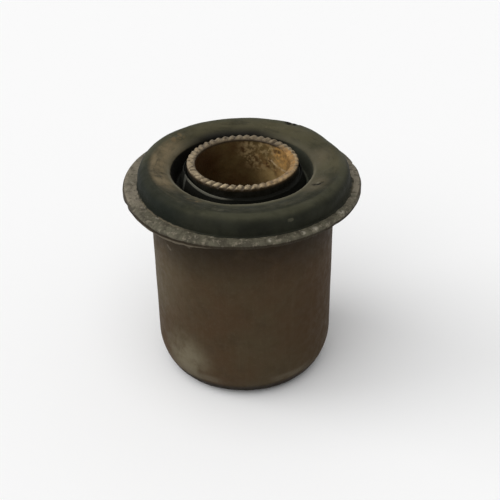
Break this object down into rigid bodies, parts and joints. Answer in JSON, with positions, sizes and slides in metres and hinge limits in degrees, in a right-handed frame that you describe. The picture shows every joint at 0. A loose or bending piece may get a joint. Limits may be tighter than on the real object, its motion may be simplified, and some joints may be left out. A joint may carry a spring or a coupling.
{
  "type": "rubber-metal suspension bush",
  "caption": "Flanged rubber-metal bush: a steel shell with a flange, a bonded rubber body with a buffer lip, and a steel inner tube with serrated ends.",
  "frame": {"origin": "middle of the inner tube's lower end, the lowest level of the bush, on its axis", "axes": "+Z along the bush's axis, from the nosed lower end to the flanged upper end; X and Y are radial and equal"},
  "size_m": [0.058, 0.058, 0.057],
  "materials": {
    "shell_steel": "dark brown phosphate coating, dull, worn to grey steel on the flange",
    "rubber": "moulded black rubber, dull, dusty on top",
    "tube_steel": "bare steel, rusty golden brown in the bore"
  },
  "bodies": {
    "root": {"outer_sleeve": "shell_steel", "rubber_body": "rubber", "inner_sleeve": "tube_steel"}
  },
  "joints": []
}
